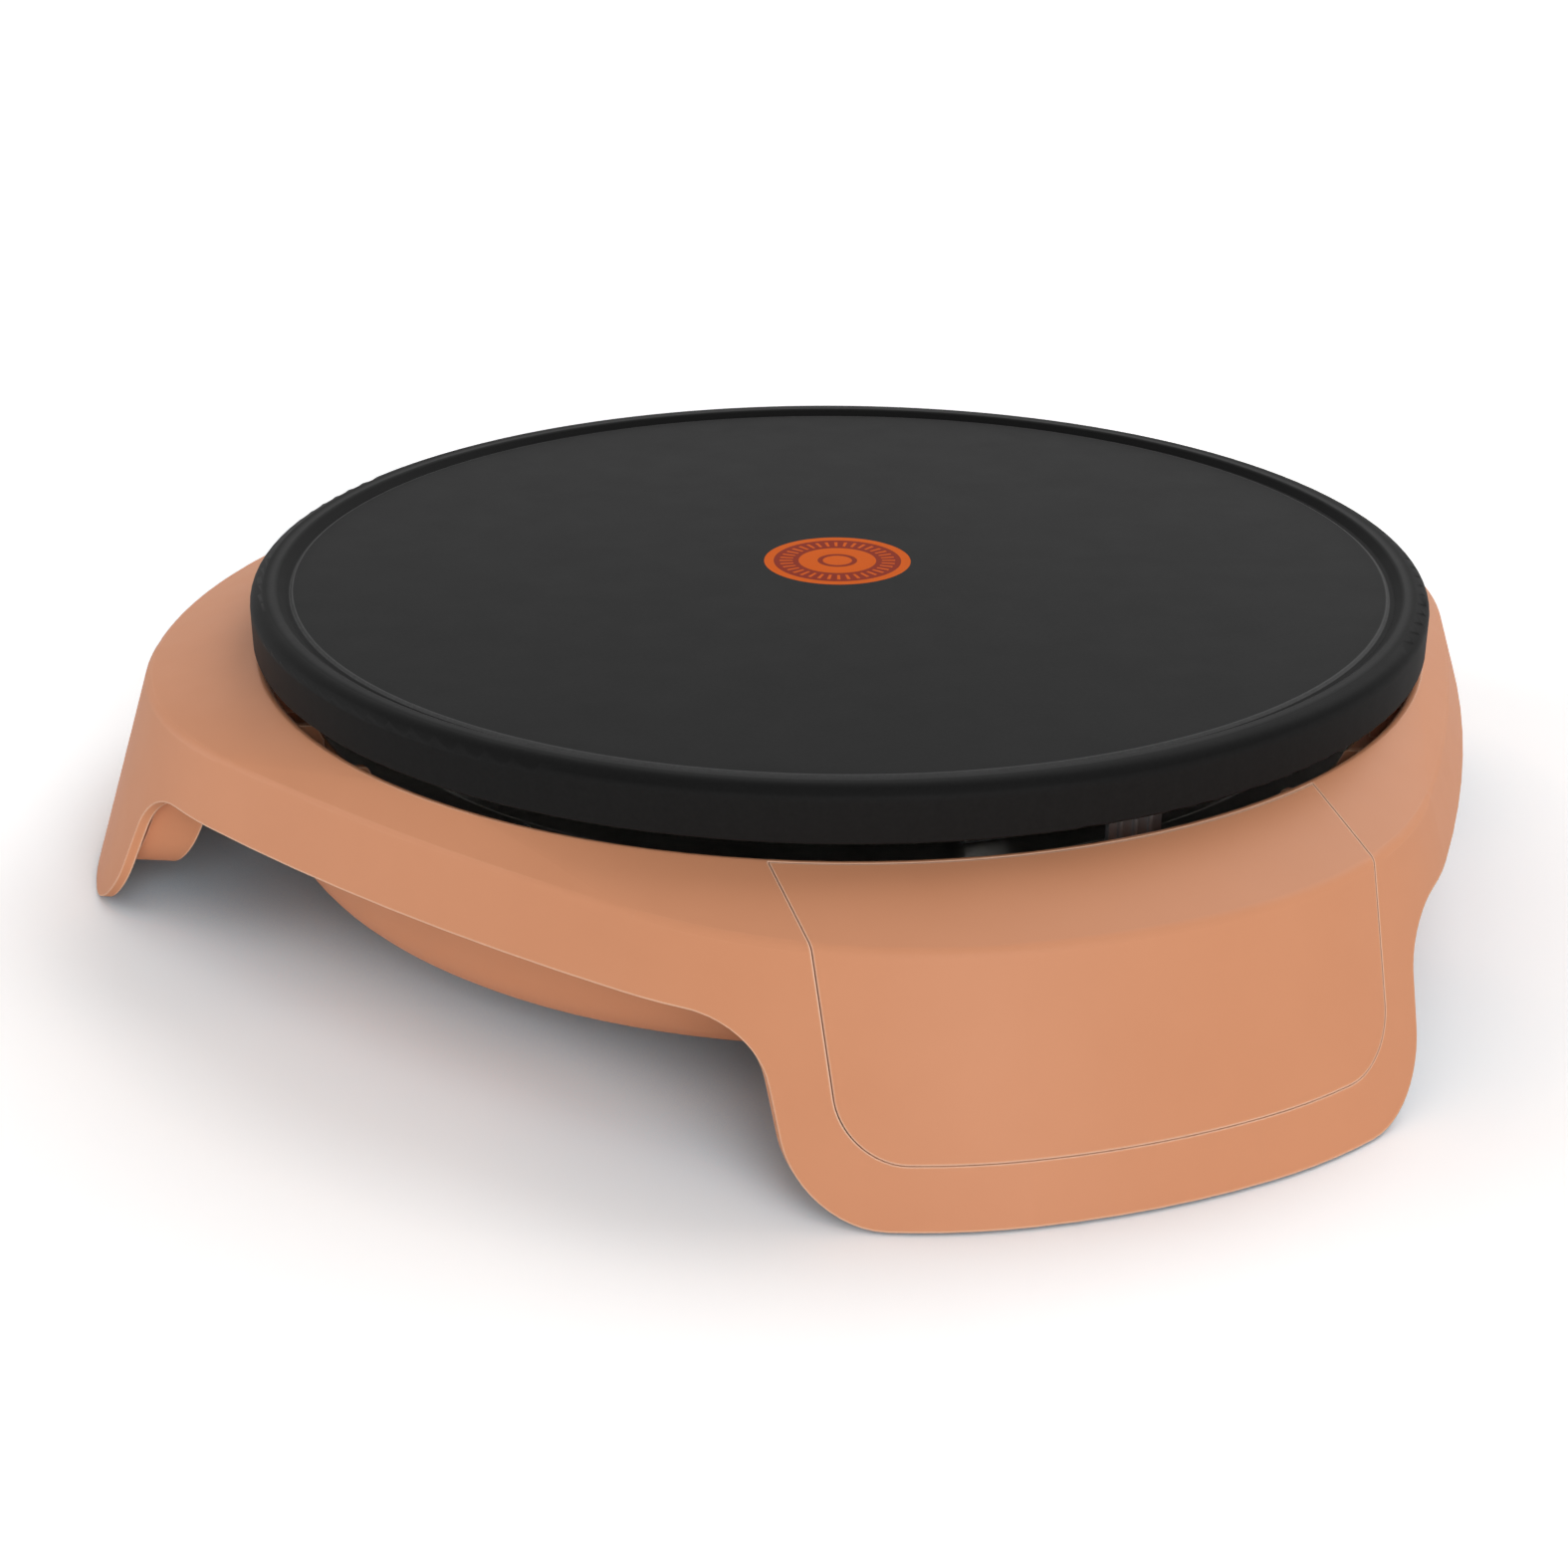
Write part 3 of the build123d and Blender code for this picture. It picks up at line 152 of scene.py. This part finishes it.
def within(tree, value, band):
    """1 where value lies in the band, 0 outside."""
    over = node(tree, "Math", {0: value, 1: band[0]}, operation="GREATER_THAN").outputs[0]
    under = node(tree, "Math", {0: value, 1: band[1]}, operation="LESS_THAN").outputs[0]
    return node(tree, "Math", {0: over, 1: under}, operation="MULTIPLY").outputs[0]


# ---------------------------------------------------------------- materials: one for each finish
def copper_painted_moulding():
    """Moulded PBT with a satin copper-coloured paint: an even warm tone, a soft broad highlight and the
    very slight unevenness of sprayed paint. Along sharp edges a paler colour is painted in as a highlight."""
    material, tree, surface, place = start("copper_painted_moulding", "#dc9771", 0.45,
                                           Specular_IOR_Level=0.16)
    tone = mottle(tree, surface, place, "#db966f", "#e19c75", 26.0)
    # Painted highlight: a pale copper along sharp edges, where they would catch the light.
    edge_highlight = node(tree, "Mix", {"Factor": sharp_edge(tree, 0.8), colour_a: tone, colour_b: linear("#fbcfb1")},
                 data_type="RGBA").outputs[mixed]
    tree.links.new(edge_highlight, surface.inputs["Base Color"])
    wander(tree, surface, place, 0.42, 0.48, 9.0)
    # Real orange peel is about 0.3 mm; it is drawn at 0.9 mm so that it shows.
    pebble(tree, surface, place, 0.9, 0.004, soften_mm=0.5)
    return material


spot_radius = 22.2 * MM           # printed heat indicator in the middle of the plate
spot_ring = (0.53, 0.87)          # dark band, as shares of the spot's radius
spot_ticks = 36
tick_band = (0.61, 0.79)
tick_share = 0.34                 # share of each tick's pitch that is bright
spot_mark = (0.20, 0.27)          # small dark ring at the middle
print_depth = 0.4 * MM            # the print lies on the top face only

# How bright the coating is painted against its open face, at distances in from the plate's outer wall in mm:
# painted highlights along the rim's crest and the trough's inner edge, painted shade in the trough between
# them, and a little darker from 0.6 to 4.8 mm in.
rim_light_rings = ((0.0, 1.0), (0.6, 0.6), (4.8, 0.6), (6.2, 2.1), (7.0, 2.1), (8.2, 0.45), (11.2, 0.45),
              (11.7, 5.5), (12.3, 5.5), (12.7, 0.95), (16.0, 1.0))


def rim_light_level(tree, radius):
    """Painted brightness of the coating, highlight and shade, at a distance from the plate's axis: straight
    lines from ring to ring. The curve runs from 0 to 1 both ways, so distances and levels are shares of the
    largest."""
    furthest = max(distance for distance, level in rim_light_rings)
    brightest = max(level for distance, level in rim_light_rings)
    shares = [(distance / furthest, level / brightest) for distance, level in rim_light_rings]
    inwards = node(tree, "MapRange", {"Value": radius, "From Min": plate_radius,
                                      "From Max": plate_radius - furthest * MM}).outputs[0]
    curve = node(tree, "FloatCurve", {"Value": inwards})
    line = curve.mapping.curves[0]
    line.points[0].location = shares[0]
    line.points[1].location = shares[-1]
    for share in shares[1:-1]:
        line.points.new(*share)
    for point in line.points:
        point.handle_type = "VECTOR"
    curve.mapping.update()
    return node(tree, "Math", {0: curve.outputs[0], 1: brightest}, operation="MULTIPLY").outputs[0]


def coated_cast_plate():
    """Cast aluminium under a matt PTFE coating: near black, fine-grained, with a low grazing sheen, painted
    highlights and shade in rings at its rim, and the round heat indicator printed into its middle."""
    material, tree, surface, place = start("coated_cast_plate", "#212121", 0.5, Specular_IOR_Level=0.025)
    tone = mottle(tree, surface, place, "#1f1f1f", "#252525", 1.2)
    wander(tree, surface, place, 0.44, 0.52, 14.0)
    # The coating's grain is about 0.1 mm; it is drawn at 0.6 mm so that it shows.
    pebble(tree, surface, place, 0.6, 0.006)

    split = node(tree, "SeparateXYZ", {"Vector": place})
    flat = node(tree, "CombineXYZ", {"X": split.outputs["X"], "Y": split.outputs["Y"]})
    radius = node(tree, "VectorMath", {0: flat.outputs[0]}, operation="LENGTH").outputs["Value"]
    share = node(tree, "Math", {0: radius, 1: spot_radius}, operation="DIVIDE").outputs[0]
    angle = node(tree, "Math", {0: split.outputs["Y"], 1: split.outputs["X"]}, operation="ARCTAN2").outputs[0]
    pitches = node(tree, "Math", {0: angle, 1: spot_ticks / (2 * math.pi)}, operation="MULTIPLY").outputs[0]
    step = node(tree, "Math", {0: pitches}, operation="FRACT").outputs[0]
    tick = node(tree, "Math", {0: within(tree, share, tick_band), 1: within(tree, step, (0.0, tick_share))},
                operation="MULTIPLY").outputs[0]
    band = node(tree, "Math", {0: within(tree, share, spot_ring), 1: tick}, operation="SUBTRACT").outputs[0]
    dark = node(tree, "Math", {0: band, 1: within(tree, share, spot_mark)}, operation="ADD").outputs[0]
    top = within(tree, split.outputs["Z"], (cooking_height - print_depth, cooking_height + print_depth))
    spot = node(tree, "Math", {0: within(tree, share, (-1.0, 1.0)), 1: top}, operation="MULTIPLY").outputs[0]
    ink = node(tree, "Mix", {"Factor": dark, colour_a: linear("#e3661a"), colour_b: linear("#92331f")},
               data_type="RGBA").outputs[mixed]
    # Painted highlights and shade in rings at the rim scale the coating's tone.
    rim_lit_tone = node(tree, "VectorMath", {0: tone, "Scale": rim_light_level(tree, radius)},
                operation="SCALE").outputs[0]
    coat = node(tree, "Mix", {"Factor": spot, colour_a: rim_lit_tone, colour_b: ink}, data_type="RGBA").outputs[mixed]
    tree.links.new(coat, surface.inputs["Base Color"])
    return material


def black_rubber():
    """Moulded rubber: matt black with a dry, dusty grain."""
    material, tree, surface, place = start("black_rubber", "#1c1c1c", 0.85)
    mottle(tree, surface, place, "#191919", "#212121", 1.5)
    pebble(tree, surface, place, 0.7, 0.02)
    return material


def zinc_plated_sheet():
    """Cold-rolled steel sheet, pressed and zinc-plated: pale grey metal with a faint uneven sheen."""
    material, tree, surface, place = start("zinc_plated_sheet", "#b9bbbe", 0.34, Metallic=1.0)
    mottle(tree, surface, place, "#b0b3b6", "#c6c8ca", 4.0)
    wander(tree, surface, place, 0.28, 0.42, 2.5)
    pebble(tree, surface, place, 1.5, 0.003)
    return material


def aluminised_reflector():
    """Aluminised steel, pressed into a dish: a fine spangle and a soft mirror, dulled by heat."""
    material, tree, surface, place = start("aluminised_reflector", "#b4b1ab", 0.36, Metallic=1.0)
    mottle(tree, surface, place, "#a9a69f", "#bfbcb6", 3.0)
    wander(tree, surface, place, 0.32, 0.42, 3.0)
    pebble(tree, surface, place, 4.0, 0.004)
    return material


def heat_tinted_sheath():
    """Nickel-steel sheath after annealing: dark grey, with patches of straw and blue heat tint."""
    material, tree, surface, place = start("heat_tinted_sheath", "#6c6660", 0.42, Metallic=1.0)
    noise = node(tree, "TexNoise", {"Vector": place, "Scale": 1 / (22 * MM), "Detail": 3.0})
    tint = node(tree, "ValToRGB", {"Fac": noise.outputs[0]})
    tint.color_ramp.elements[0].color = linear("#55504b")
    tint.color_ramp.elements[0].position = 0.35
    tint.color_ramp.elements[1].color = linear("#7c6f5e")
    tint.color_ramp.elements[1].position = 0.65
    straw = tint.color_ramp.elements.new(0.5)
    straw.color = linear("#5d5c60")
    tree.links.new(tint.outputs[0], surface.inputs["Base Color"])
    pebble(tree, surface, place, 0.5, 0.01)
    return material


def steatite():
    """Pressed and fired steatite: off-white, dense, with a dull sheen and a few darker specks."""
    material, tree, surface, place = start("steatite", "#e9e4d8", 0.5)
    mottle(tree, surface, place, "#e2dccf", "#efebe1", 2.0, detail=6.0)
    pebble(tree, surface, place, 0.4, 0.01)
    return material


def black_phenolic():
    """Heat-resistant phenolic moulding: black with a faint brown cast and a moulded sheen."""
    material, tree, surface, place = start("black_phenolic", "#232224", 0.45)
    mottle(tree, surface, place, "#1f1e20", "#292728", 1.0)
    pebble(tree, surface, place, 0.6, 0.01)
    return material


def turned_aluminium():
    """Aluminium faced on a lathe: bright metal with fine rings about its own axis."""
    material, tree, surface, place = start("turned_aluminium", "#d0d2d4", 0.3, Metallic=1.0)
    flat = node(tree, "VectorMath", {0: place, 1: (1, 1, 0)}, operation="MULTIPLY").outputs[0]
    # The tool's feed is about 0.1 mm; its rings are drawn 1 mm apart so that they show.
    rings = node(tree, "TexWave", {"Vector": flat, "Scale": wave_step / (1.0 * MM), "Distortion": 0.3},
                 wave_type="RINGS", rings_direction="Z")
    bump = node(tree, "Bump", {"Height": rings.outputs[0], "Distance": 0.01 * MM})
    tree.links.new(bump.outputs[0], surface.inputs["Normal"])
    mottle(tree, surface, place, "#c6c8ca", "#d8dadc", 3.0)
    return material


def stamped_brass():
    """Half-hard brass strip, stamped: warm yellow metal, slightly tarnished."""
    material, tree, surface, place = start("stamped_brass", "#c8a45a", 0.34, Metallic=1.0)
    mottle(tree, surface, place, "#b38f4b", "#d2b069", 2.0)
    wander(tree, surface, place, 0.26, 0.44, 1.5)
    return material


def braided_sleeve():
    """Glass braid soaked in red silicone: crossing diagonal strands with a dull sheen."""
    material, tree, surface, place = start("braided_sleeve", "#b23a24", 0.6)
    # A strand and the dip beside it are about 1.4 mm together.
    scale = diagonal_step / (1.4 * MM)
    one = node(tree, "TexWave", {"Vector": place, "Scale": scale}, bands_direction="DIAGONAL")
    across = node(tree, "Mapping", {"Vector": place, "Rotation": (0, 0, math.pi / 2)})
    two = node(tree, "TexWave", {"Vector": across.outputs[0], "Scale": scale}, bands_direction="DIAGONAL")
    weave = node(tree, "Math", {0: one.outputs[1], 1: two.outputs[1]}, operation="MAXIMUM").outputs[0]
    tone = node(tree, "Mix", {"Factor": weave, colour_a: linear("#7e2618"), colour_b: linear("#c04a30")},
                data_type="RGBA").outputs[mixed]
    bump = node(tree, "Bump", {"Height": weave, "Distance": 0.15 * MM})
    tree.links.new(tone, surface.inputs["Base Color"])
    tree.links.new(bump.outputs[0], surface.inputs["Normal"])
    return material


def lead_insulation(name, dark, light):
    """Silicone lead insulation: soft, slightly waxy, extruded smooth."""
    material, tree, surface, place = start(name, light, 0.5)
    mottle(tree, surface, place, dark, light, 6.0)
    pebble(tree, surface, place, 0.8, 0.01)
    return material


def striped_insulation():
    """Earth lead: green with a yellow stripe that winds round it."""
    material, tree, surface, place = start("striped_insulation", "#5d8f2c", 0.5)
    # The stripe comes round again after about 11 mm, and covers a little less than half of that.
    stripe = node(tree, "TexWave", {"Vector": place, "Scale": diagonal_step / (11.4 * MM)},
                  bands_direction="DIAGONAL")
    yellow = node(tree, "Math", {0: stripe.outputs[1], 1: 0.55}, operation="GREATER_THAN").outputs[0]
    tone = node(tree, "Mix", {"Factor": yellow, colour_a: linear("#4f8c33"), colour_b: linear("#d8c537")},
                data_type="RGBA").outputs[mixed]
    tree.links.new(tone, surface.inputs["Base Color"])
    pebble(tree, surface, place, 0.8, 0.01)
    return material


def bright_zinc():
    """Zinc-plated screws and rivets: blue-bright metal with tiny dulled spots."""
    material, tree, surface, place = start("bright_zinc", "#b4b8bc", 0.28, Metallic=1.0)
    mottle(tree, surface, place, "#a8acb1", "#c2c5c8", 1.0)
    wander(tree, surface, place, 0.2, 0.4, 0.8)
    return material


def dress():
    """Give every piece the finish of its material slot in the record."""
    finishes = {
        "plate_coating": coated_cast_plate(),
        "copper_body": copper_painted_moulding(),
        "rubber": black_rubber(),
        "steel": zinc_plated_sheet(),
        "reflector": aluminised_reflector(),
        "element": heat_tinted_sheath(),
        "ceramic": steatite(),
        "dark_plastic": black_phenolic(),
        "aluminium": turned_aluminium(),
        "brass": stamped_brass(),
        "silicone": braided_sleeve(),
        "zinc": bright_zinc(),
        "lead_blue": lead_insulation("blue_insulation", "#1d468f", "#2855a6"),
        "lead_brown": lead_insulation("brown_insulation", "#5c361e", "#6f4226"),
        "lead_white": lead_insulation("white_insulation", "#d4cfc6", "#e3dfd7"),
        "lead_green": striped_insulation(),
    }
    for part in frame["record"]["subparts"]:
        piece = nodes[part["node"]]
        piece.data.materials.clear()
        piece.data.materials.append(finishes[part["material_slot"]])


# ---------------------------------------------------------------- floor and light
floor_half = 12.0                 # metres, from the middle to each side
floor_white = 0.86                # how much light the floor throws back at the object
floor_seen = 1.57                 # as the camera sees it, so that the open floor is just white
painted_shadow_level = 0.46              # painted shadow: share of that left deep under the object
painted_shadow_tint = (0.68, 1.04, 1.26)   # painted shadow's tint: light thrown off the object warms the floor beside it; this greys it again
painted_shadow_reach = 80 * MM           # how far out the painted shadow goes
world_level = 0.05                # light from all round; the camera and shiny surfaces see white

# Lamps: azimuth from the front towards the right, elevation, both in degrees, and strength.
lamps = {
    "key_front_low": (-3, 18, 1.62),
    "key_front_high": (5, 52, 0.56),
    "fill_left": (-115, 10, 1.15),
    "back_right": (122, 44, 1.08),
    "back_left": (-155, 52, 0.15),
}
lamp_spread = 45.0                # degrees across, as of a large soft box


def set_floor():
    """Plain white floor that keeps the object's shadow and runs out past every view; to the camera it also
    gets a painted shadow near the object, darker where the ambient occlusion is deep. It is seen through
    from below, so that the underside can be looked at."""
    corners = [(x * floor_half, y * floor_half, 0) for x, y in ((-1, -1), (1, -1), (1, 1), (-1, 1))]
    mesh = bpy.data.meshes.new("floor")
    mesh.from_pydata(corners, [], [(0, 1, 2, 3)])
    floor = bpy.data.objects.new("floor", mesh)
    bpy.context.scene.collection.objects.link(floor)
    material = bpy.data.materials.new("white_floor")
    material.use_nodes = True
    tree = material.node_tree
    tree.nodes.clear()
    # Painted shadow: the floor's colour for the camera darkens near the object by its ambient occlusion.
    open_share = node(tree, "AmbientOcclusion", {"Distance": painted_shadow_reach}, samples=8).outputs["AO"]
    painted_shadow_colour = [floor_seen * painted_shadow_level * share for share in painted_shadow_tint]
    seen = node(tree, "Mix", {"Factor": open_share, colour_a: (*painted_shadow_colour, 1), colour_b: (*[floor_seen] * 3, 1)},
                data_type="RGBA").outputs[mixed]
    camera_ray = node(tree, "LightPath").outputs["Is Camera Ray"]
    colour = node(tree, "Mix", {"Factor": camera_ray, colour_a: (*[floor_white] * 3, 1), colour_b: seen},
                  data_type="RGBA").outputs[mixed]
    paper = node(tree, "BsdfDiffuse", {"Color": colour}).outputs[0]
    nothing = node(tree, "BsdfTransparent").outputs[0]
    from_below = node(tree, "NewGeometry").outputs["Backfacing"]
    sheet = node(tree, "MixShader", {0: from_below, 1: paper, 2: nothing})
    node(tree, "OutputMaterial", {"Surface": sheet.outputs[0]})
    mesh.materials.append(material)


def set_world():
    """Even pale surroundings: white to the camera and in shiny or clear surfaces, dim as light."""
    world = bpy.data.worlds.new("studio")
    world.use_nodes = True
    tree = world.node_tree
    tree.nodes.clear()
    path = node(tree, "LightPath")
    mirrored = node(tree, "Math", {0: path.outputs["Is Glossy Ray"], 1: path.outputs["Is Transmission Ray"]},
                    operation="MAXIMUM").outputs[0]
    seen = node(tree, "Math", {0: path.outputs["Is Camera Ray"], 1: mirrored}, operation="MAXIMUM").outputs[0]
    level = node(tree, "MapRange", {"Value": seen, "To Min": world_level, "To Max": 1.0}).outputs[0]
    sky = node(tree, "Background", {"Color": (1, 1, 1, 1), "Strength": level})
    node(tree, "OutputWorld", {"Surface": sky.outputs[0]})
    bpy.context.scene.world = world


def set_lights():
    """Soft lamps round the object, each a broad sun so that the floor is lit evenly."""
    for name, (azimuth, elevation, strength) in lamps.items():
        away = direction(azimuth, elevation)
        data = bpy.data.lights.new(name, "SUN")
        data.energy = strength
        data.angle = math.radians(lamp_spread)
        lamp = bpy.data.objects.new(name, data)
        bpy.context.scene.collection.objects.link(lamp)
        turn = away.to_track_quat("Z", "Y").to_matrix().to_4x4()
        lamp.matrix_world = Matrix.Translation(away) @ turn


set_camera()
dress()
set_floor()
set_world()
set_lights()
bpy.context.scene.view_settings.view_transform = "Standard"
